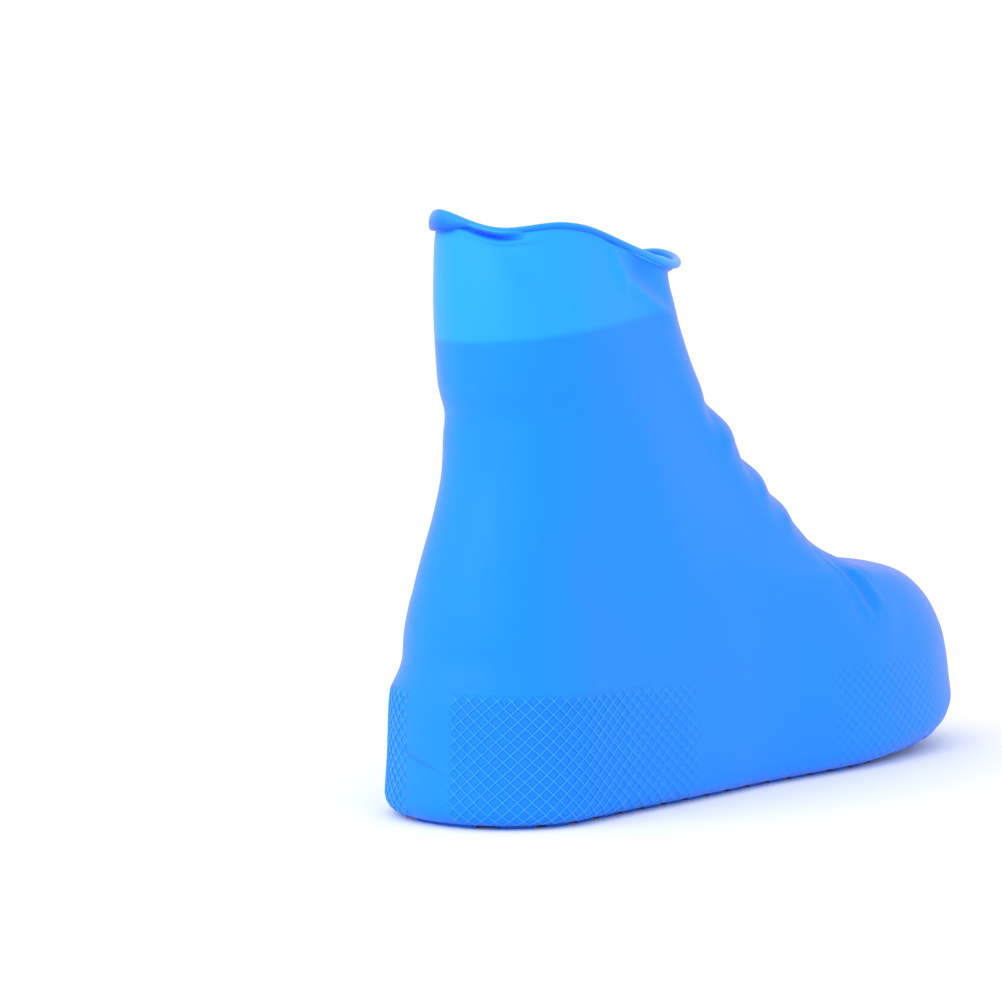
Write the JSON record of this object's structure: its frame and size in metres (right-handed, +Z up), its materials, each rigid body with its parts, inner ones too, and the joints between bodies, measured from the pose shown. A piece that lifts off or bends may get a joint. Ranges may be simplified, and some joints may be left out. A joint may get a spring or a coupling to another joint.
{
  "type": "shoe cover",
  "caption": "Slip-on waterproof latex shoe cover for a right foot, with a rolled ankle rim, a net-patterned side band and a treaded sole, standing open.",
  "frame": {"origin": "on the floor, at the centre of the cover's bounding box", "axes": "+X from heel to toe, +Y towards the inner side of the foot, +Z up"},
  "size_m": [0.296, 0.1022, 0.2003],
  "materials": {
    "film": "satin latex film",
    "rim": "satin latex bead",
    "band": "satin latex with a raised net",
    "sole": "matte latex tread"
  },
  "bodies": {
    "root": {"upper": "film", "rolled_rim": "rim", "grip_band": "band", "outsole": "sole"}
  },
  "joints": []
}
